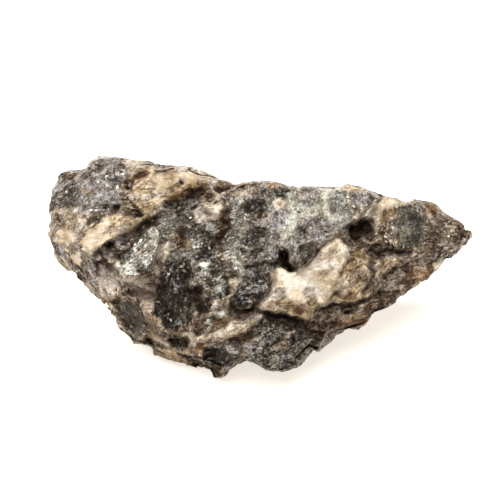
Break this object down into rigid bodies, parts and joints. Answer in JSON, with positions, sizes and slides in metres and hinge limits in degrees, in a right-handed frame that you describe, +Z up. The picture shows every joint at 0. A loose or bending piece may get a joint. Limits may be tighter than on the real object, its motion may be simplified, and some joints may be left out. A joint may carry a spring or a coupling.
{
  "type": "ijolite rock specimen",
  "caption": "Hand specimen of ijolite: one broken piece of coarse dark rock with cream and green grains, lying on a small flat spot.",
  "frame": {"origin": "on the surface that the stone rests on, under the middle of its bounding box", "axes": "+X along the stone towards its pointed end, +Z up, -Y towards the side that is shown"},
  "size_m": [0.0362, 0.0188, 0.0132],
  "materials": {
    "stone": "broken rock: dark mica and pyroxene with bright cleavage faces, green pyroxene, cream and tan grains"
  },
  "bodies": {
    "root": {"ijolite": "stone"}
  },
  "joints": []
}
